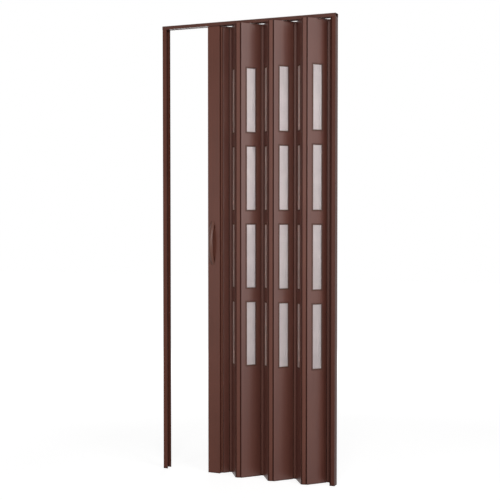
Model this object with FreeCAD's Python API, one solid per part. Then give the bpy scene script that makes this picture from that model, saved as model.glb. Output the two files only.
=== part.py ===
import FreeCAD, Part
import math
import os

from FreeCAD import Vector

# Frame: the head track and the two jambs
DOOR_WIDTH = 840.0
DOOR_HEIGHT = 2050.0
FRAME_DEPTH = 36.0
TRACK_HEIGHT = 16.0
JAMB_FACE = 22.0
FRAME_WALL = 2.0
FRAME_CORNER_RADIUS = 2.5
LIP_ROUNDING = 0.6
TRACK_LIP = 9.0
SCREW_HOLE_RADIUS = 2.25
TRACK_SCREWS = 4
TRACK_SCREW_MARGIN = 60.0
JAMB_SCREWS = 4
JAMB_SCREW_MARGIN = 117.0

# Folding leaves, seen from above
FULL_LEAVES = 6
LEAF_LENGTH = 100.5
LEAF_THICKNESS = 10.0
LEAF_WALL = 1.5
LEAF_EDGE_RADIUS = 2.0
LEAF_END_BLOCK = 9.0
BROAD_ANGLE = 48.5
STEEP_ANGLE = 56.0
STRIP_LENGTH = 17.5
STRIP_THICKNESS = 3.2
MEMBRANE_THICKNESS = 1.6
TONGUE_DEPTH = 7.0
FOLDS_FORWARD = 10.0
LAST_FOLD_FROM_WALL = 36.0
POST_LEAF_LENGTH = 32.0
POST_STRIP_LENGTH = 6.0
WALL_LEAF_LENGTH = 24.0
WALL_LEAF_ANGLE = 64.0

# Lead post
POST_WIDTH = 59.0
POST_DEPTH = 30.0
POST_WALL = 2.0
POST_EDGE_RADIUS = 2.0

# Windows in the leaves
WINDOW_ROWS = 4
PANE_WIDTH_SEEN = 42.0
PANE_HEIGHT_SEEN = 281.0
WINDOW_PITCH = 347.5
FIRST_WINDOW_BELOW_TOP = 217.0
WINDOW_FRAME_WIDTH = 4.0
WINDOW_LIP = 3.0
WINDOW_LIP_PROUD = 0.8
WINDOW_LIP_CHAMFER = 0.5
PANE_THICKNESS = 8.0
PANE_SKIN = 1.0
PANE_CELLS = 4
PANE_GROOVE = 2.0

# Bow handles
HANDLE_LENGTH = 200.0
HANDLE_REACH = 31.0
HANDLE_WIDTH = 21.0
HANDLE_THICKNESS = 7.0
HANDLE_FOOT = 16.0
HANDLE_EDGE_CHAMFER = 2.4
HANDLE_FROM_POST_EDGE = 24.5
HANDLE_CENTRE_HEIGHT = 1055.0

# Gliders
GLIDER_HEAD_RADIUS = 10.0
GLIDER_HEAD_THICKNESS = 4.0
GLIDER_NECK_RADIUS = 3.0
GLIDER_PLUG_DEPTH = 25.0
GLIDER_PLUG_WIDTH = 14.0

# Clearances
FLOOR_CLEARANCE = 2.0
TRACK_CLEARANCE = 1.0
HINGE_GAP = 1.2
PLATE_GAP = 2.6

# Derived sizes
SLOT = MEMBRANE_THICKNESS
UNDER_TRACK = DOOR_HEIGHT - TRACK_HEIGHT
LEAF_BOTTOM = FLOOR_CLEARANCE
LEAF_TOP = UNDER_TRACK - TRACK_CLEARANCE
HALF_DEPTH = FRAME_DEPTH / 2
INNER_CORNER_RADIUS = FRAME_CORNER_RADIUS - FRAME_WALL
LAST_LEAF = FULL_LEAVES + 2
STEEP_DEPTH = LEAF_LENGTH * math.sin(math.radians(STEEP_ANGLE))
BROAD_DEPTH = LEAF_LENGTH * math.sin(math.radians(BROAD_ANGLE))
STRIP_ANGLE = math.degrees(math.asin((STEEP_DEPTH - BROAD_DEPTH) / (2 * STRIP_LENGTH)))
WINDOW_WIDTH = PANE_WIDTH_SEEN + 2 * WINDOW_FRAME_WIDTH
WINDOW_HEIGHT = PANE_HEIGHT_SEEN + 2 * WINDOW_FRAME_WIDTH


def direction(degrees):
    """Unit vector in plan at this angle from +X."""
    return Vector(math.cos(math.radians(degrees)), math.sin(math.radians(degrees)), 0)


def angle_of(vector):
    """Plan angle of a vector in degrees."""
    return math.degrees(math.atan2(vector.y, vector.x))


def outline(corners):
    """Flat face in plan through corners (x, y, radius), each rounded by its radius."""
    joints = []
    for index, (x, y, radius) in enumerate(corners):
        here = Vector(x, y, 0)
        back = Vector(*corners[index - 1][:2], 0) - here
        ahead = Vector(*corners[(index + 1) % len(corners)][:2], 0) - here
        back.normalize()
        ahead.normalize()
        half_angle = back.getAngle(ahead) / 2
        reach = radius / math.tan(half_angle)
        middle = back + ahead
        middle.normalize()
        nearest = here + middle * (radius / math.sin(half_angle) - radius)
        joints.append((here + back * reach, nearest, here + ahead * reach, radius))
    edges = []
    for index, (start, nearest, end, radius) in enumerate(joints):
        if radius > 0:
            edges.append(Part.Arc(start, nearest, end).toShape())
        following = joints[(index + 1) % len(joints)][0]
        if end.distanceToPoint(following) > 1e-6:
            edges.append(Part.makeLine(end, following))
    return Part.Face(Part.Wire(edges))


def rectangle(u0, u1, v0, v1, radius=0):
    """Flat rectangular face in plan, with round corners if a radius is given."""
    return outline([(u0, v0, radius), (u1, v0, radius), (u1, v1, radius), (u0, v1, radius)])


def raise_profile(profile, bottom, top):
    """Solid made by drawing a plan profile up from one height to another."""
    placed = profile.copy()
    placed.translate(Vector(0, 0, bottom))
    return placed.extrude(Vector(0, 0, top - bottom)).removeSplitter()


def put_in_plan(shape, centre, degrees):
    """Copy of a shape turned about the upright axis and moved to a plan point."""
    placed = shape.copy()
    placed.rotate(Vector(0, 0, 0), Vector(0, 0, 1), degrees)
    placed.translate(centre)
    return placed


def upright_box(x0, x1, y0, y1, z0, z1):
    """Box between six planes."""
    return Part.makeBox(x1 - x0, y1 - y0, z1 - z0, Vector(x0, y0, z0))


# The fold line: hinge points of every leaf in plan, from the wall back to the post
def fold_line():
    """Start and end of each leaf, numbered from the lead post to the wall."""
    strip = direction(STRIP_ANGLE) * STRIP_LENGTH
    broad = direction(BROAD_ANGLE) * LEAF_LENGTH
    steep = direction(-STEEP_ANGLE) * LEAF_LENGTH
    last_fold = Vector(-LAST_FOLD_FROM_WALL, STEEP_DEPTH / 2 - FOLDS_FORWARD, 0)
    leaves = {LAST_LEAF: (last_fold, last_fold + direction(-WALL_LEAF_ANGLE) * WALL_LEAF_LENGTH)}
    end = last_fold - strip
    for number in range(LAST_LEAF - 1, 1, -1):
        run = broad if (LAST_LEAF - number) % 2 else steep
        leaves[number] = (end - run, end)
        end = end - run - strip
    whole = POST_LEAF_LENGTH + POST_STRIP_LENGTH
    rise = math.degrees(math.asin(end.y / whole))
    start = end - direction(rise) * POST_LEAF_LENGTH
    leaves[1] = (start, end)
    return leaves


LEAVES = fold_line()
POST_LEAF_ANGLE = angle_of(LEAVES[1][1] - LEAVES[1][0])
POST_HINGE = LEAVES[1][0] - direction(POST_LEAF_ANGLE) * POST_STRIP_LENGTH
POST_RIGHT = POST_HINGE.x - HINGE_GAP
POST_LEFT = POST_RIGHT - POST_WIDTH
WALL_HINGE = Vector(-JAMB_FACE / 2, 0, 0)


def screw_places(span, margin, count):
    """Evenly spaced places along a span, the outer ones this margin from its ends."""
    pitch = (span - 2 * margin) / (count - 1)
    return [margin + index * pitch for index in range(count)]


# Head track: a channel open downwards, with two lips that carry the gliders
def head_track():
    half, wall, top = HALF_DEPTH, FRAME_WALL, TRACK_HEIGHT
    inner, slot, round_edge = half - wall, half - wall - TRACK_LIP, LIP_ROUNDING
    profile = outline([
        (-slot, 0, 0), (-slot, wall, round_edge), (-inner, wall, 0),
        (-inner, top - wall, INNER_CORNER_RADIUS), (inner, top - wall, INNER_CORNER_RADIUS),
        (inner, wall, 0), (slot, wall, round_edge), (slot, 0, 0),
        (half, 0, round_edge), (half, top, FRAME_CORNER_RADIUS),
        (-half, top, FRAME_CORNER_RADIUS), (-half, 0, round_edge)])
    bar = profile.extrude(Vector(0, 0, DOOR_WIDTH))
    bar.rotate(Vector(0, 0, 0), Vector(1, 0, 0), 90)
    bar.rotate(Vector(0, 0, 0), Vector(0, 0, 1), 90)
    bar.translate(Vector(-DOOR_WIDTH, 0, UNDER_TRACK))
    for along in screw_places(DOOR_WIDTH, TRACK_SCREW_MARGIN, TRACK_SCREWS):
        bar = bar.cut(Part.makeCylinder(SCREW_HOLE_RADIUS, 2 * wall,
                                        Vector(-along, 0, DOOR_HEIGHT - 1.5 * wall)))
    return bar


# Jambs: channels screwed to the two sides of the opening, drawn with the wall at x = 0
def jamb_channel(socket):
    """Channel profile, with two ribs beside the hinge's tongue if it has a socket."""
    half, wall, face = HALF_DEPTH, FRAME_WALL, JAMB_FACE
    inner = half - wall
    corners = [(0, -half, FRAME_CORNER_RADIUS), (face, -half, 0), (face, -inner, 0),
               (wall, -inner, INNER_CORNER_RADIUS)]
    if socket:
        near, far, mouth = SLOT / 2, SLOT / 2 + wall, face / 2 - HINGE_GAP
        corners += [(wall, -far, 0), (mouth, -far, 0), (mouth, -near, 0), (wall, -near, 0),
                    (wall, near, 0), (mouth, near, 0), (mouth, far, 0), (wall, far, 0)]
    corners += [(wall, inner, INNER_CORNER_RADIUS), (face, inner, 0), (face, half, 0),
                (0, half, FRAME_CORNER_RADIUS)]
    return outline(corners)


def jamb(socket):
    channel = raise_profile(jamb_channel(socket), 0, UNDER_TRACK)
    inner = HALF_DEPTH - FRAME_WALL
    beside = (SLOT / 2 + FRAME_WALL + inner) / 2 if socket else 0
    for height in screw_places(UNDER_TRACK, JAMB_SCREW_MARGIN, JAMB_SCREWS):
        drill = Part.makeCylinder(SCREW_HOLE_RADIUS, 3 * FRAME_WALL,
                                  Vector(-FRAME_WALL, beside, height), Vector(1, 0, 0))
        channel = channel.cut(drill)
    return channel


def closing_jamb():
    channel = jamb(socket=False)
    channel.translate(Vector(-DOOR_WIDTH, 0, 0))
    return channel


def fixed_jamb():
    channel = jamb(socket=True)
    channel.rotate(Vector(0, 0, 0), Vector(0, 0, 1), 180)
    return channel


# Lead post: a hollow box with an inner web and a slot for the first hinge
def post_cells():
    """X range of the post's two large hollows, left and right of its middle web."""
    block = POST_RIGHT - LEAF_END_BLOCK
    middle = (POST_LEFT + block) / 2
    return [(POST_LEFT + POST_WALL, middle - POST_WALL / 2), (middle + POST_WALL / 2, block)]


def lead_post():
    half = POST_DEPTH / 2
    inner = half - POST_WALL
    profile = rectangle(POST_LEFT, POST_RIGHT, -half, half, POST_EDGE_RADIUS)
    cells = [rectangle(left, right, -inner, inner) for left, right in post_cells()]
    for side in (-1, 1):
        low, high = sorted((side * (SLOT / 2 + POST_WALL), side * inner))
        cells.append(rectangle(POST_RIGHT - LEAF_END_BLOCK + POST_WALL, POST_RIGHT - POST_WALL, low, high))
    slot = rectangle(POST_RIGHT - TONGUE_DEPTH, POST_RIGHT, -SLOT / 2, SLOT / 2)
    return raise_profile(profile.cut(cells + [slot]), LEAF_BOTTOM, LEAF_TOP)


# Leaves: hollow extrusions with slotted edges and, in the full ones, window openings
def leaf(number):
    start, end = LEAVES[number]
    along = end - start
    half = along.Length / 2 - HINGE_GAP
    thick = LEAF_THICKNESS / 2
    skin = thick - LEAF_WALL
    profile = rectangle(-half, half, -thick, thick, LEAF_EDGE_RADIUS)
    inner = half - LEAF_END_BLOCK
    glazed = number in glazed_leaves()
    cells = [rectangle(-inner, inner, -skin, skin)]
    if glazed:
        window = WINDOW_WIDTH / 2
        cells = [
            rectangle(-inner, -window - LEAF_WALL, -skin, skin),
            rectangle(-window, window, -skin, skin),
            rectangle(window + LEAF_WALL, inner, -skin, skin)]
    for side in (-1, 1):
        low, high = sorted((side * half, side * (half - TONGUE_DEPTH)))
        cells.append(rectangle(low, high, -SLOT / 2, SLOT / 2))
    body = raise_profile(profile.cut(cells), LEAF_BOTTOM, LEAF_TOP)
    if glazed:
        openings = [upright_box(-window, window, -2 * thick, 2 * thick, low, high)
                    for low, high in window_heights(WINDOW_HEIGHT)]
        body = body.cut(openings)
    return put_in_plan(body, (start + end) / 2, angle_of(along))


def glazed_leaves():
    """Numbers of the leaves with windows: all but the short ones at the ends."""
    return sorted(LEAVES)[1:-1]


def window_heights(height):
    """Lower and upper height of each window for this opening height, from the top down."""
    rows = []
    for row in range(WINDOW_ROWS):
        middle = (DOOR_HEIGHT - FIRST_WINDOW_BELOW_TOP - PANE_HEIGHT_SEEN / 2
                  - row * WINDOW_PITCH)
        rows.append((middle - height / 2, middle + height / 2))
    return rows


# Window frames: a ring in each opening with a proud lip on both faces and a groove for the pane
def window_frames(number):
    start, end = LEAVES[number]
    window = WINDOW_WIDTH / 2
    seen = PANE_WIDTH_SEEN / 2
    thick = LEAF_THICKNESS / 2
    rings = []
    for low, high in window_heights(WINDOW_HEIGHT):
        ring = upright_box(-window, window, -thick, thick, low, high)
        for side in (-1, 1):
            v0, v1 = sorted((side * thick, side * (thick + WINDOW_LIP_PROUD)))
            lip = upright_box(-window - WINDOW_LIP, window + WINDOW_LIP, v0, v1,
                              low - WINDOW_LIP, high + WINDOW_LIP)
            face = side * (thick + WINDOW_LIP_PROUD)
            rim = [edge for edge in lip.Edges if all(abs(p.Point.y - face) < 0.01
                                                     for p in edge.Vertexes)]
            ring = ring.fuse(lip.makeChamfer(WINDOW_LIP_CHAMFER, rim))
        light = upright_box(-seen, seen, -2 * thick, 2 * thick,
                            low + WINDOW_FRAME_WIDTH, high - WINDOW_FRAME_WIDTH)
        groove = pane_box(low, high)
        rings.append(ring.removeSplitter().cut([light, groove]))
    whole = Part.makeCompound(rings)
    return put_in_plan(whole, (start + end) / 2, angle_of(end - start))


def pane_box(low, high):
    """Outer shape of a pane, let into the groove of its ring all round."""
    inset = WINDOW_FRAME_WIDTH - PANE_GROOVE
    half = WINDOW_WIDTH / 2 - inset
    return upright_box(-half, half, -PANE_THICKNESS / 2, PANE_THICKNESS / 2,
                       low + inset, high - inset)


def pane(low, high):
    """Twin-wall pane: two skins joined by upright webs, its cells open at the top and bottom."""
    box = pane_box(low, high)
    left, right = box.BoundBox.XMin, box.BoundBox.XMax
    pitch = (right - left - PANE_SKIN) / PANE_CELLS
    depth = PANE_THICKNESS / 2 - PANE_SKIN
    cells = []
    for index in range(PANE_CELLS):
        edge = left + PANE_SKIN + index * pitch
        cells.append(upright_box(edge, edge + pitch - PANE_SKIN, -depth, depth, low, high))
    return box.cut(cells)


def panes(number):
    start, end = LEAVES[number]
    whole = Part.makeCompound([pane(low, high) for low, high in window_heights(WINDOW_HEIGHT)])
    return put_in_plan(whole, (start + end) / 2, angle_of(end - start))


# Hinge strips: a stiff plate with a thin bending edge on each side
def bar_in_plan(start, end, thickness):
    """Rectangle of this thickness about the line between two plan points."""
    along = end - start
    face = rectangle(0, along.Length, -thickness / 2, thickness / 2)
    return put_in_plan(face, start, angle_of(along))


def disc_in_plan(centre, radius):
    """Round face in plan."""
    return Part.Face(Part.Wire(Part.makeCircle(radius, centre)))


def hinge_strip(before, first, second, after):
    """Strip between two hinge points, with tongues along the directions before and after."""
    skin = MEMBRANE_THICKNESS
    tongue = TONGUE_DEPTH + HINGE_GAP
    parts = [
        bar_in_plan(first - before * tongue, first, skin),
        bar_in_plan(first, second, skin),
        bar_in_plan(second, second + after * tongue, skin),
        disc_in_plan(first, skin / 2),
        disc_in_plan(second, skin / 2)]
    along = second - first
    if along.Length > 4 * PLATE_GAP:
        step = direction(angle_of(along)) * PLATE_GAP
        parts.append(bar_in_plan(first + step, second - step, STRIP_THICKNESS))
    profile = parts[0].fuse(parts[1:]).removeSplitter()
    return raise_profile(profile, LEAF_BOTTOM, LEAF_TOP)


def leaf_direction(number):
    """Unit vector along a leaf, from the post towards the wall."""
    start, end = LEAVES[number]
    return direction(angle_of(end - start))


def hinge(number):
    """The first hinge joins the post, the last the fixed jamb, the rest join two leaves."""
    across = Vector(1, 0, 0)
    if number == 1:
        return hinge_strip(across, POST_HINGE, LEAVES[1][0], leaf_direction(1))
    if number > LAST_LEAF:
        return hinge_strip(leaf_direction(LAST_LEAF), LEAVES[LAST_LEAF][1], WALL_HINGE, across)
    return hinge_strip(leaf_direction(number - 1), LEAVES[number - 1][1],
                       LEAVES[number][0], leaf_direction(number))


# Gliders: heads on the track lips, necks through the slot, plugs in the leaf tops
def glider(centre, degrees, plug_length, plug_width):
    seat = UNDER_TRACK + FRAME_WALL
    head = Part.makeCylinder(GLIDER_HEAD_RADIUS, GLIDER_HEAD_THICKNESS, Vector(0, 0, seat))
    neck = Part.makeCylinder(GLIDER_NECK_RADIUS, seat - LEAF_TOP, Vector(0, 0, LEAF_TOP))
    plug = upright_box(-plug_length / 2, plug_length / 2, -plug_width / 2, plug_width / 2,
                       LEAF_TOP - GLIDER_PLUG_DEPTH, LEAF_TOP)
    return put_in_plan(head.fuse([neck, plug]).removeSplitter(), centre, degrees)


def glider_point(number):
    """Plan point where a leaf passes under the middle of the track."""
    start, end = LEAVES[number]
    return start + (end - start) * (start.y / (start.y - end.y))


def gliders():
    carried = []
    for number in glazed_leaves():
        carried.append(glider(glider_point(number), angle_of(leaf_direction(number)),
                              GLIDER_PLUG_WIDTH, LEAF_THICKNESS - 2 * LEAF_WALL))
    for left, right in post_cells():
        carried.append(glider(Vector((left + right) / 2, 0, 0), 0, GLIDER_PLUG_WIDTH,
                              POST_DEPTH - 2 * POST_WALL))
    return Part.makeCompound(carried)


# Handles: a bow drawn between two circular arcs, with flat feet on the post
def handle(side):
    half = HANDLE_LENGTH / 2
    face = side * POST_DEPTH / 2
    inner_half = half - HANDLE_FOOT
    outer_top = Vector(0, face, half)
    outer_mid = Vector(0, face + side * HANDLE_REACH, 0)
    outer_low = Vector(0, face, -half)
    inner_low = Vector(0, face, -inner_half)
    inner_mid = Vector(0, face + side * (HANDLE_REACH - HANDLE_THICKNESS), 0)
    inner_top = Vector(0, face, inner_half)
    wire = Part.Wire([
        Part.Arc(outer_top, outer_mid, outer_low).toShape(),
        Part.makeLine(outer_low, inner_low),
        Part.Arc(inner_low, inner_mid, inner_top).toShape(),
        Part.makeLine(inner_top, outer_top)])
    bow = Part.Face(wire).extrude(Vector(HANDLE_WIDTH, 0, 0))
    curved = [edge for edge in bow.Edges if edge.Curve.TypeId == "Part::GeomCircle"]
    bow = bow.makeChamfer(HANDLE_EDGE_CHAMFER, curved)
    bow.translate(Vector(POST_LEFT + HANDLE_FROM_POST_EDGE - HANDLE_WIDTH / 2, 0, HANDLE_CENTRE_HEIGHT))
    return bow


PIECES = {
    "head_track": head_track(),
    "closing_jamb": closing_jamb(),
    "fixed_jamb": fixed_jamb(),
    "lead_post": lead_post(),
    "handle_front": handle(-1),
    "handle_back": handle(1),
    "gliders": gliders(),
}
for number in range(1, LAST_LEAF + 1):
    PIECES["leaf_%d" % number] = leaf(number)
for number in range(1, LAST_LEAF + 2):
    PIECES["hinge_%d" % number] = hinge(number)
for number in glazed_leaves():
    PIECES["window_frames_%d" % number] = window_frames(number)
    PIECES["panes_%d" % number] = panes(number)

os.makedirs("parts", exist_ok=True)
for node, shape in PIECES.items():
    shape.exportStep("parts/" + node + ".step")
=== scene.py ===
import math

import bpy
import numpy as np
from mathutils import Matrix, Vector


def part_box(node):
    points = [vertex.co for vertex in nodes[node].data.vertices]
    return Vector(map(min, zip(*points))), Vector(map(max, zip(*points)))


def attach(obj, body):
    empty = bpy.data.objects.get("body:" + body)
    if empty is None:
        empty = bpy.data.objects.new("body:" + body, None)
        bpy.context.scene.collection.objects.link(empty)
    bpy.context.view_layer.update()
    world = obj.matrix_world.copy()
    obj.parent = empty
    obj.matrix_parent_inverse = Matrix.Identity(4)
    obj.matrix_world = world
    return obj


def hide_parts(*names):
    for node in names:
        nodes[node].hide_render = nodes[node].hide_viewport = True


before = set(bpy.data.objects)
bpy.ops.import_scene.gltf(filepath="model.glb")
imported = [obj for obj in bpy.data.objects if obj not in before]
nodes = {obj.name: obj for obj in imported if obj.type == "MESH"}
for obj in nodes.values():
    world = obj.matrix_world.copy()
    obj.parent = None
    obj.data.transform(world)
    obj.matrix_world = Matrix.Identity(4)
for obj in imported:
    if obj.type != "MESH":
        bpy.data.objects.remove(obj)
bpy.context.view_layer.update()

MM = 0.001

# Places that the scene's own pieces need, read from the door itself
POST_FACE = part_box("lead_post")[1].y
DOOR_WIDTH = -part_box("head_track")[0].x
DOOR_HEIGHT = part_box("head_track")[1].z

# Way of the leaves in plan, in degrees from +X towards +Y
WIDE_LEAF_WAY = 48.5
STEEP_LEAF_WAY = -56

# Specular levels: jambs are the dullest, strips and post are satin, and the leaves are wiped with wax
DULL_LEVEL = 0.1
SATIN_LEVEL = 0.2
STEEP_LEAF_LEVEL = 0.25
MOULDED_LEVEL = 0.3
WAXED_LEVEL = 0.5

PVC_IOR = 1.53
ACRYLIC_IOR = 1.49
# Colour of the painted shade in a profile's grooves and other shaded places, and the share of its gloss
# that is left there
GROOVE_SHADE = "#361c16"
GROOVE_GLOSS_SHARE = 0.2
SHARE_OF_WIDTH = "share_of_width"


# Colours and shader nodes
def linear(code):
    """sRGB hex code to the linear colour that a shader works in, with full alpha."""
    channels = [int(code[i:i + 2], 16) / 255 for i in (1, 3, 5)]
    return [c / 12.92 if c <= 0.04045 else ((c + 0.055) / 1.055) ** 2.4 for c in channels] + [1.0]


def add(tree, kind, inputs=None, stops=(), **settings):
    """Adds one node. settings are its own properties. inputs are its sockets, by name or number,
    each with a constant or with the output that is linked to it. stops are the places and hex
    colours of a colour ramp."""
    node = tree.nodes.new(kind)
    for name, value in settings.items():
        setattr(node, name, value)
    for name, value in (inputs or {}).items():
        if isinstance(value, bpy.types.NodeSocket):
            tree.links.new(value, node.inputs[name])
        else:
            node.inputs[name].default_value = value
    for element, (place_at, colour) in zip(node.color_ramp.elements if stops else (), stops):
        element.position = place_at
        element.color = linear(colour)
    return node


def new_material(name):
    """A material with an empty node tree, and the tree."""
    material = bpy.data.materials.new(name)
    material.use_nodes = True
    material.node_tree.nodes.clear()
    return material, material.node_tree


# Where painted shade falls on a profile: each function gives 0 where the shade is painted and 1 on the
# unshaded face
def out_of_grooves(tree):
    """Painted shade where the surroundings within 12 mm hide a point, as in the grooves beside the
    strips.
    """
    nearby = add(tree, "ShaderNodeAmbientOcclusion", {"Distance": 12 * MM}, samples=8)
    return add(tree, "ShaderNodeMapRange", {
        "Value": nearby.outputs["AO"], "From Min": 0.45, "From Max": 0.92}).outputs["Result"]


def clear_of_shade_line(tree, position, dark_to, unshaded_from):
    """Painted shade up to one place on X and none from another: a dark line along a jamb's inner edge
    that stands for the shade in the gap or channel beside it.
    """
    along = add(tree, "ShaderNodeSeparateXYZ", {"Vector": position}).outputs["X"]
    return add(tree, "ShaderNodeMapRange", {
        "Value": along, "From Min": dark_to * MM, "From Max": unshaded_from * MM}).outputs["Result"]


def clear_of_ends(tree, way):
    """Painted shade where a leaf's surface turns to face along the leaf, at its two rounded ends, which
    sit in the grooves beside the strips.
    """
    angle = math.radians(way)
    normal = add(tree, "ShaderNodeNewGeometry").outputs["Normal"]
    facing = add(tree, "ShaderNodeVectorMath", {0: normal, 1: (math.cos(angle), math.sin(angle), 0)},
                 operation="DOT_PRODUCT").outputs["Value"]
    either_end = add(tree, "ShaderNodeMath", {0: facing}, operation="ABSOLUTE").outputs[0]
    return add(tree, "ShaderNodeMapRange", {
        "Value": either_end, "From Min": 0.75, "From Max": 0.35}).outputs["Result"]


def clear_of_shaded_edges(tree):
    """Painted shade along a strip's two thin bending edges, where the grooves are, by the share of the
    strip's own width.
    """
    share = add(tree, "ShaderNodeAttribute", attribute_name=SHARE_OF_WIDTH).outputs["Fac"]
    left, right = (add(tree, "ShaderNodeMapRange", {
        "Value": share, "From Min": dark_to, "From Max": unshaded_from}).outputs["Result"]
        for dark_to, unshaded_from in ((0.13, 0.19), (0.77, 0.71)))
    return add(tree, "ShaderNodeMath", {0: left, 1: right}, operation="MULTIPLY").outputs[0]


# Materials
def die_lines(tree, position, apart_mm, long_mm, detail, along):
    """Noise drawn out along the way that the profile leaves its die."""
    across, run = 1 / (apart_mm * MM), 1 / (long_mm * MM)
    scale = {"Z": (across, across, run), "X": (run, across, across)}[along]
    drawn_out = add(tree, "ShaderNodeMapping", {"Vector": position, "Scale": scale}).outputs["Vector"]
    return add(tree, "ShaderNodeTexNoise", {
        "Vector": drawn_out, "Scale": 1.0, "Detail": detail, "Roughness": 0.55}).outputs["Fac"]


def extruded_pvc(name, low, high, along="Z", gloss=SATIN_LEVEL, shade_line=None, ends=None, shaded_edges=False):
    """Rigid PVC profile, extruded and left satin: long faint die lines, slow colour drift, a soft
    sheen that is a little uneven, and painted shade, dark and dull, in the grooves that part one
    profile from the next and along the edges that the other arguments pick.

    The die lines are really about 0.4 mm apart; they are drawn 5 mm apart so that they show.
    """
    material, tree = new_material(name)
    position = add(tree, "ShaderNodeTexCoord").outputs["Object"]
    lines = die_lines(tree, position, 5, 420, 3.0, along)
    drift = add(tree, "ShaderNodeTexNoise", {
        "Vector": position, "Scale": 6.0, "Detail": 2.0}).outputs["Fac"]
    both = add(tree, "ShaderNodeMath", {0: lines, 1: 0.9, 2: drift}, operation="MULTIPLY_ADD")
    centred = add(tree, "ShaderNodeMath", {0: both.outputs[0], 1: 0.53}, operation="MULTIPLY")
    own_colour = add(tree, "ShaderNodeValToRGB", {"Fac": centred.outputs[0]}, ((0.36, low), (0.66, high)))

    # Painted shade: 1 on the open face, falling to 0 in the grooves and at the edges that the masks below
    # pick; there the colour turns to the dark groove colour and the gloss falls to a share of itself
    open_face = out_of_grooves(tree)
    masks = []
    if shade_line:
        masks.append(clear_of_shade_line(tree, position, *shade_line))
    if ends is not None:
        masks.append(clear_of_ends(tree, ends))
    if shaded_edges:
        masks.append(clear_of_shaded_edges(tree))
    for mask in masks:
        open_face = add(tree, "ShaderNodeMath", {0: open_face, 1: mask}, operation="MULTIPLY").outputs[0]
    # Sockets 6 and 7 of a colour mix are its two colours, and output 2 is the mixed colour
    colour = add(tree, "ShaderNodeMix", {
        0: open_face, 6: linear(GROOVE_SHADE), 7: own_colour.outputs["Color"]}, data_type="RGBA").outputs[2]

    sheen = add(tree, "ShaderNodeMapRange", {
        "Value": lines, "From Min": 0.3, "From Max": 0.7, "To Min": 0.34, "To Max": 0.40})
    level = add(tree, "ShaderNodeMapRange", {
        "Value": open_face, "To Min": gloss * GROOVE_GLOSS_SHARE, "To Max": gloss})
    grain = add(tree, "ShaderNodeTexNoise", {
        "Vector": position, "Scale": 1 / (0.9 * MM), "Detail": 2.0}).outputs["Fac"]
    fine = die_lines(tree, position, 1.2, 160, 1.0, along)
    relief = add(tree, "ShaderNodeMath", {0: fine, 1: 1.4, 2: grain}, operation="MULTIPLY_ADD")
    bump = add(tree, "ShaderNodeBump", {
        "Height": relief.outputs[0], "Strength": 0.18, "Distance": 0.05 * MM})
    shader = add(tree, "ShaderNodeBsdfPrincipled", {
        "Base Color": colour, "Roughness": sheen.outputs["Result"], "IOR": PVC_IOR,
        "Specular IOR Level": level.outputs["Result"], "Normal": bump.outputs["Normal"]})
    add(tree, "ShaderNodeOutputMaterial", {"Surface": shader.outputs["BSDF"]})
    return material


def moulded_plastic(name, low, high, roughness, grain_mm):
    """Injection-moulded plastic: an even fine spark-eroded grain and a slight flow mottle."""
    material, tree = new_material(name)
    position = add(tree, "ShaderNodeTexCoord").outputs["Object"]
    flow = add(tree, "ShaderNodeTexNoise", {
        "Vector": position, "Scale": 40.0, "Detail": 3.0}).outputs["Fac"]
    mottle = add(tree, "ShaderNodeValToRGB", {"Fac": flow}, ((0.3, low), (0.7, high)))
    sheen = add(tree, "ShaderNodeMapRange", {
        "Value": flow, "From Min": 0.3, "From Max": 0.7,
        "To Min": roughness - 0.04, "To Max": roughness + 0.05})
    grain = add(tree, "ShaderNodeTexNoise", {
        "Vector": position, "Scale": 1 / (grain_mm * MM), "Detail": 2.0})
    bump = add(tree, "ShaderNodeBump", {
        "Height": grain.outputs["Fac"], "Strength": 0.2, "Distance": 0.04 * MM})
    shader = add(tree, "ShaderNodeBsdfPrincipled", {
        "Base Color": mottle.outputs["Color"], "Roughness": sheen.outputs["Result"], "IOR": PVC_IOR,
        "Specular IOR Level": MOULDED_LEVEL, "Normal": bump.outputs["Normal"]})
    add(tree, "ShaderNodeOutputMaterial", {"Surface": shader.outputs["BSDF"]})
    return material


def frosted_acrylic(name, tint, cloud):
    """Cast acrylic with a sandblasted face: pale, milky, lit through from behind, faintly cloudy."""
    material, tree = new_material(name)
    position = add(tree, "ShaderNodeTexCoord").outputs["Object"]
    clouds = add(tree, "ShaderNodeTexNoise", {"Vector": position, "Scale": 18.0, "Detail": 3.0})
    milk = add(tree, "ShaderNodeValToRGB", {"Fac": clouds.outputs["Fac"]}, ((0.3, tint), (0.7, cloud)))
    blast = add(tree, "ShaderNodeTexNoise", {
        "Vector": position, "Scale": 1 / (1.1 * MM), "Detail": 1.0})
    bump = add(tree, "ShaderNodeBump", {
        "Height": blast.outputs["Fac"], "Strength": 0.25, "Distance": 0.05 * MM})
    shader = add(tree, "ShaderNodeBsdfPrincipled", {
        "Base Color": milk.outputs["Color"], "Roughness": 0.5, "IOR": ACRYLIC_IOR,
        "Specular IOR Level": 0.3, "Transmission Weight": 0.75, "Normal": bump.outputs["Normal"]})
    add(tree, "ShaderNodeOutputMaterial", {"Surface": shader.outputs["BSDF"]})
    return material


def plated_steel(name, low, high):
    """Zinc-plated steel screw: bright, with a cloudy passivated film."""
    material, tree = new_material(name)
    position = add(tree, "ShaderNodeTexCoord").outputs["Object"]
    film = add(tree, "ShaderNodeTexNoise", {"Vector": position, "Scale": 500.0, "Detail": 3.0})
    zinc = add(tree, "ShaderNodeValToRGB", {"Fac": film.outputs["Fac"]}, ((0.3, low), (0.7, high)))
    shader = add(tree, "ShaderNodeBsdfPrincipled", {
        "Base Color": zinc.outputs["Color"], "Roughness": 0.34, "Metallic": 1.0})
    add(tree, "ShaderNodeOutputMaterial", {"Surface": shader.outputs["BSDF"]})
    return material
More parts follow.
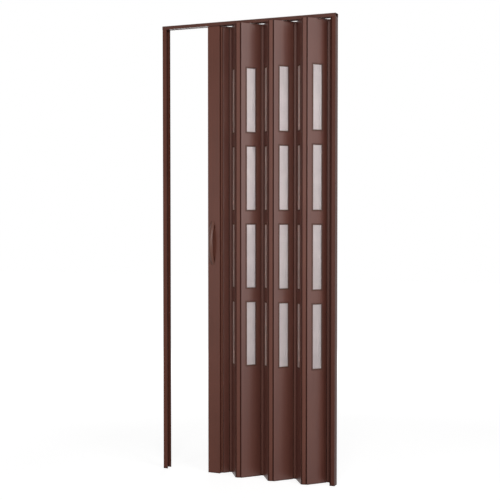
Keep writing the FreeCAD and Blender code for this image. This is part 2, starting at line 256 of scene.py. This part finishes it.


# Finishes of the door. The leaves that turn away from the front are a little duller than the wide
# ones and painted a little darker, as painted shade; their panes are tinted with the warm brown of
# their neighbours, as a painted reflection; and the first strip is painted a little paler, as
# painted light against the shade of the post.
wide_leaf_pvc = extruded_pvc("extruded_pvc_leaf_waxed", "#5a3229", "#62382d",
                             gloss=WAXED_LEVEL, ends=WIDE_LEAF_WAY)
steep_leaf_shaded_pvc = extruded_pvc("extruded_pvc_leaf_painted_shade", "#55302a", "#5e362c",
                              gloss=STEEP_LEAF_LEVEL, ends=STEEP_LEAF_WAY)
# Strips: painted shade along both bending edges, in the grooves
strip_pvc = extruded_pvc("extruded_pvc_hinge_painted_groove_shade", "#5c342a", "#643b2f", shaded_edges=True)
# First strip: painted paler than the others, as painted light against the shade that the post casts on it
first_strip_painted_light_pvc = extruded_pvc("extruded_pvc_hinge_painted_lighter", "#74483b", "#7c4f42")
# Fixed jamb: painted darker than the post, as painted shade, with a painted shade line along its inner
# edge
fixed_jamb_shaded_pvc = extruded_pvc("extruded_pvc_jamb_with_painted_shade_line", "#4f2d24", "#573228",
                              gloss=DULL_LEVEL, shade_line=(-16.5, -14.5))
# Closing jamb: a painted shade line along its inner edge, in the channel
closing_jamb_pvc = extruded_pvc("extruded_pvc_jamb_satin", "#5b3429", "#63392e",
                                gloss=DULL_LEVEL, shade_line=(-815, -822))
track_pvc = extruded_pvc("extruded_pvc_track_satin", "#4f2d24", "#573228", along="X")
post_pvc = extruded_pvc("extruded_pvc_post_satin", "#5b3429", "#63392e")
# Window frames: painted a little darker than the leaves, as painted shade around each window's recess
bead_pvc = moulded_plastic("moulded_pvc_window_frame", "#4e3129", "#583930", 0.52, 0.8)
handle_abs = moulded_plastic("moulded_abs_handle_satin", "#5c382d", "#664034", 0.33, 0.7)
glider_nylon = moulded_plastic("moulded_nylon_glider", "#cfcabc", "#dcd7ca", 0.45, 0.8)
wide_pane_acrylic = frosted_acrylic("cast_acrylic_frosted", "#dfd8d8", "#e8e1e1")
# Panes of the leaves that turn away: a warm brown tint painted in, as the reflection of the brown leaves
# beside them
steep_pane_painted_reflection_acrylic = frosted_acrylic("cast_acrylic_frosted_painted_reflection", "#e8d4cd", "#efddd7")
screw_steel = plated_steel("zinc_plated_steel_screw", "#a9aaa8", "#c6c7c3")


def mark_share_of_width(strip):
    """Writes the strip's own attribute: 0 at its left side, rising evenly with X to 1 at its right."""
    corners = np.empty(3 * len(strip.data.vertices), np.float32)
    strip.data.vertices.foreach_get("co", corners)
    x = corners[::3]
    share = strip.data.attributes.new(SHARE_OF_WIDTH, "FLOAT", "POINT")
    share.data.foreach_set("value", (x - x.min()) / (x.max() - x.min()))


STEEP_LEAVES = (2, 4, 6, 8)
finishes = {
    "head_track": track_pvc, "closing_jamb": closing_jamb_pvc, "fixed_jamb": fixed_jamb_shaded_pvc,
    "lead_post": post_pvc, "gliders": glider_nylon, "handle_front": handle_abs, "handle_back": handle_abs,
}
for name, node in nodes.items():
    kind, _, number = name.rpartition("_")
    if kind == "leaf":
        material = steep_leaf_shaded_pvc if int(number) in STEEP_LEAVES else wide_leaf_pvc
    elif kind == "panes":
        material = steep_pane_painted_reflection_acrylic if int(number) in STEEP_LEAVES else wide_pane_acrylic
    elif kind == "hinge":
        material = first_strip_painted_light_pvc if number == "1" else strip_pvc
        mark_share_of_width(node)
    elif kind == "window_frames":
        material = bead_pvc
    else:
        material = finishes[name]
    node.data.materials.clear()
    node.data.materials.append(material)


# New surfaces
def place(name, tubes, material, replaces=None):
    """Puts one or more like tubes, (count, rows, columns, 3) points, in the scene as one piece that
    rides on the door. Each row of points is a closed ring, and the first and last rings are capped.
    The columns run anticlockwise as seen from the last ring, so that every face points outwards."""
    count, rows, columns = tubes.shape[:3]
    row, column = np.meshgrid(np.arange(rows - 1), np.arange(columns), indexing="ij")
    beside = (column + 1) % columns
    quads = np.stack([row * columns + column, row * columns + beside,
                      (row + 1) * columns + beside, (row + 1) * columns + column], -1)
    first, last = np.arange(columns)[::-1], (rows - 1) * columns + np.arange(columns)
    tube = np.arange(count)[:, None, None] * rows * columns
    faces = ((quads.reshape(-1, 4) + tube).reshape(-1, 4).tolist()
             + (np.stack([first, last]) + tube).reshape(-1, columns).tolist())
    mesh = bpy.data.meshes.new(name)
    mesh.from_pydata(tubes.reshape(-1, 3).tolist(), [], faces)
    mesh.validate()
    mesh.materials.append(material)
    mesh.polygons.foreach_set("use_smooth", [True] * len(mesh.polygons))
    piece = bpy.data.objects.new(name, mesh)
    bpy.context.scene.collection.objects.link(piece)
    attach(piece, "root")
    if replaces:
        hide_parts(replaces)


# Bow pulls
FOOT = 16 * MM
BOW_THICKNESS = 7 * MM
EDGE_SHARE = 0.2
SLIMMER_FEET = 0.2
FRONT_POWER = 2 / 1.7
INNER_POWER = 2 / 5


def bow_surface(side, node):
    """Bow pull: a D-shaped section, flat inside and crowned outside, between two circular arcs.

    Both arcs leave the post's face, reach their own height over the middle and come back, so the
    bow is thin at its middle and thickens into two flat feet, where it is also a little slimmer.
    share is the way along each arc, angle the way round the section. The section is two half
    superellipses: a nearly square one to the hand's side, and a pointed one to the front.
    """
    low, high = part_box(node)
    centre_x, half_width = (low.x + high.x) / 2, (high.x - low.x) / 2
    half_length, centre_z = (high.z - low.z) / 2, (high.z + low.z) / 2
    reach = high.y - low.y

    def arc(half_chord, rise, share):
        radius = (half_chord ** 2 + rise ** 2) / (2 * rise)
        angle = share * math.asin(half_chord / radius)
        return radius * np.sin(angle), rise - radius * (1 - np.cos(angle))

    share = np.linspace(-1, 1, 97)[:, None]
    outer_z, outer_y = arc(half_length, reach, share)
    inner_z, inner_y = arc(half_length - FOOT, reach - BOW_THICKNESS, share)
    angle = np.linspace(0, 2 * np.pi, 64, endpoint=False)[None, :]
    front = np.sin(angle) > 0
    power = np.where(front, FRONT_POWER, INNER_POWER)
    across = np.sign(np.cos(angle)) * np.abs(np.cos(angle)) ** power
    through = np.abs(np.sin(angle)) ** power
    outward = np.where(front, EDGE_SHARE + (1 - EDGE_SHARE) * through, EDGE_SHARE * (1 - through))
    x = centre_x + half_width * across * (1 - SLIMMER_FEET * share ** 4)
    y = side * (POST_FACE + inner_y + (outer_y - inner_y) * outward)
    z = centre_z + inner_z + (outer_z - inner_z) * outward
    points = np.stack([x, y, z], -1)
    return points[:, ::-1] if side < 0 else points


for side, node in ((-1, "handle_front"), (1, "handle_back")):
    place("bow_" + node, bow_surface(side, node)[None], handle_abs, node)


# Screws
HEAD_RADIUS = 4.2 * MM
HEAD_HEIGHT = 2.2 * MM
RIM_DROP = 0.75
MIDDLE_RING = 0.02
RECESS_DEPTH = 1.3 * MM
RECESS_HALF_WIDTH, RECESS_FLANK = 0.17, 0.05
RECESS_REACH, RECESS_END = 0.62, 0.08


def screw_head(centre, normal):
    """Pan head with a cross recess, as one surface: height over the head is a low dome of the radius,
    less the depth of two crossed slots that fade out before the rim; the rim drops to the seat.
    share is the part of the radius, from a small capped ring at the middle out to the rim."""
    share = np.concatenate([[MIDDLE_RING], np.linspace(0.001, 0.96, 16)[1:], [1.0, 1.0]])[:, None]
    angle = np.linspace(0, 2 * np.pi, 48, endpoint=False)[None, ::-1]
    across, along = share * np.cos(angle), share * np.sin(angle)
    dome = HEAD_HEIGHT * np.sqrt(1 - RIM_DROP * share ** 2) * np.ones_like(angle)
    slot = np.minimum(np.abs(across), np.abs(along))
    rise = dome - (RECESS_DEPTH * np.clip((RECESS_HALF_WIDTH - slot) / RECESS_FLANK, 0, 1)
                   * np.clip((RECESS_REACH - share) / RECESS_END, 0, 1))
    rise[-1] = 0
    normal = np.array(normal, float)
    side = np.cross(normal, [0, 0, 1] if abs(normal[2]) < 0.9 else [1, 0, 0])
    up = np.cross(normal, side)
    return (np.array(centre) + across[..., None] * HEAD_RADIUS * side
            + along[..., None] * HEAD_RADIUS * up + rise[..., None] * normal)


def screw_row(name, centres, normal):
    """One piece of like screw heads."""
    place(name, np.stack([screw_head(centre, normal) for centre in centres]), screw_steel)


WALL = 2 * MM
SCREWS_IN_A_ROW = 4
LOWEST_JAMB_SCREW, JAMB_SCREW_STEP = 117 * MM, 600 * MM
FIRST_TRACK_SCREW, TRACK_SCREW_STEP = -60 * MM, 240 * MM
FIXED_JAMB_SCREW_LINE = -9.4 * MM
heights = [LOWEST_JAMB_SCREW + index * JAMB_SCREW_STEP for index in range(SCREWS_IN_A_ROW)]
track_places = [FIRST_TRACK_SCREW - index * TRACK_SCREW_STEP for index in range(SCREWS_IN_A_ROW)]
screw_row("screws_closing_jamb", [(-DOOR_WIDTH + WALL, 0, z) for z in heights], (1, 0, 0))
screw_row("screws_fixed_jamb", [(-WALL, FIXED_JAMB_SCREW_LINE, z) for z in heights], (-1, 0, 0))
screw_row("screws_head_track", [(x, 0, DOOR_HEIGHT - WALL) for x in track_places], (0, 0, -1))


# Floor, light and camera
WHITE = "#ffffff"
FLOOR_GREY = "#a0a0a0"
FLOOR_HALF = 14.0
NEAR, FAR = 1.5, 4.0
NEAR_GLOW, FAR_GLOW = 0.84, 0.98
ROOM_LIGHT = 0.13


def looked_at(tree):
    """1 for rays from the camera, a glossy face or a see-through pane, 0 for rays that light things."""
    rays = add(tree, "ShaderNodeLightPath").outputs
    either = add(tree, "ShaderNodeMath", {
        0: rays["Is Camera Ray"], 1: rays["Is Glossy Ray"]}, operation="MAXIMUM").outputs[0]
    return add(tree, "ShaderNodeMath", {
        0: either, 1: rays["Is Transmission Ray"]}, operation="MAXIMUM").outputs[0]


def studio_floor():
    """Pale floor that keeps a soft shadow near the door; to the camera, glass and gloss it gets
    whiter with the distance from the door, until it is as white as the room."""
    corners = [(-FLOOR_HALF, -FLOOR_HALF, 0), (FLOOR_HALF, -FLOOR_HALF, 0),
               (FLOOR_HALF, FLOOR_HALF, 0), (-FLOOR_HALF, FLOOR_HALF, 0)]
    mesh = bpy.data.meshes.new("studio_floor")
    mesh.from_pydata(corners, [], [(0, 1, 2, 3)])
    material, tree = new_material("matt_white_floor")
    position = add(tree, "ShaderNodeTexCoord").outputs["Object"]
    away = add(tree, "ShaderNodeVectorMath", {0: position}, operation="LENGTH").outputs["Value"]
    strength = add(tree, "ShaderNodeMapRange", {
        "Value": away, "From Min": NEAR, "From Max": FAR, "To Min": NEAR_GLOW, "To Max": FAR_GLOW})
    matt = add(tree, "ShaderNodeBsdfDiffuse", {"Color": linear(FLOOR_GREY)}).outputs[0]
    glow = add(tree, "ShaderNodeEmission", {
        "Color": linear(WHITE), "Strength": strength.outputs["Result"]}).outputs[0]
    lit = add(tree, "ShaderNodeAddShader", {0: matt, 1: glow}).outputs[0]
    mix = add(tree, "ShaderNodeMixShader", {0: looked_at(tree), 1: matt, 2: lit}).outputs[0]
    add(tree, "ShaderNodeOutputMaterial", {"Surface": mix})
    mesh.materials.append(material)
    floor = bpy.data.objects.new("studio_floor", mesh)
    bpy.context.scene.collection.objects.link(floor)


def studio_world():
    """Even soft room light, with a white backdrop where the camera, gloss or a pane looks at it."""
    world = bpy.data.worlds.new("studio_room")
    bpy.context.scene.world = world
    world.use_nodes = True
    tree = world.node_tree
    tree.nodes.clear()
    room = add(tree, "ShaderNodeBackground", {"Color": linear(WHITE), "Strength": ROOM_LIGHT})
    white = add(tree, "ShaderNodeBackground", {"Color": linear(WHITE), "Strength": 1.0})
    mix = add(tree, "ShaderNodeMixShader", {
        0: looked_at(tree), 1: room.outputs[0], 2: white.outputs[0]})
    add(tree, "ShaderNodeOutputWorld", {"Surface": mix.outputs[0]})


def soft_box(name, place_at, aim, size, power):
    """Rectangular soft light that faces a point; sizes in metres, power in watts."""
    light = bpy.data.lights.new(name, "AREA")
    light.shape = "RECTANGLE"
    light.size, light.size_y = size
    light.energy = power
    lamp = bpy.data.objects.new(name, light)
    bpy.context.scene.collection.objects.link(lamp)
    away = np.array(place_at, float) - np.array(aim, float)
    lamp.location = place_at
    lamp.rotation_euler = (math.atan2(math.hypot(away[0], away[1]), away[2]), 0,
                           math.atan2(away[0], -away[1]))


DOOR_MIDDLE = (-0.42, 0, 1.0)
studio_floor()
studio_world()
soft_box("soft_box_front", (1.09, -3.95, 2.2), DOOR_MIDDLE, (1.3, 2.8), 75)
soft_box("soft_box_left", (-1.49, -3.73, 1.1), DOOR_MIDDLE, (1.1, 1.6), 26)
soft_box("soft_box_behind", (-2.0, 3.9, 2.0), DOOR_MIDDLE, (1.6, 2.4), 45)
soft_box("tall_panel_right", (2.33, -1.56, 1.8), (-0.3, 0, 1.5), (1.45, 3.0), 46)

# The camera that was fitted to the photo: focal length in pixels of a picture 500 pixels wide
FOCAL_PIXELS, PICTURE_PIXELS = 1053.436, 500
CAMERA_PLACE = (1.47146, -4.34151, 1.17774)
CAMERA_DROP, CAMERA_TURN = 0.03245, 0.40848
camera = bpy.data.cameras.new("photo_camera")
camera.sensor_width = 36
camera.lens = FOCAL_PIXELS * camera.sensor_width / PICTURE_PIXELS
viewer = bpy.data.objects.new("photo_camera", camera)
bpy.context.scene.collection.objects.link(viewer)
viewer.location = CAMERA_PLACE
viewer.rotation_euler = (math.pi / 2 - CAMERA_DROP, 0, CAMERA_TURN)
bpy.context.scene.camera = viewer
bpy.context.scene.view_settings.view_transform = "Standard"
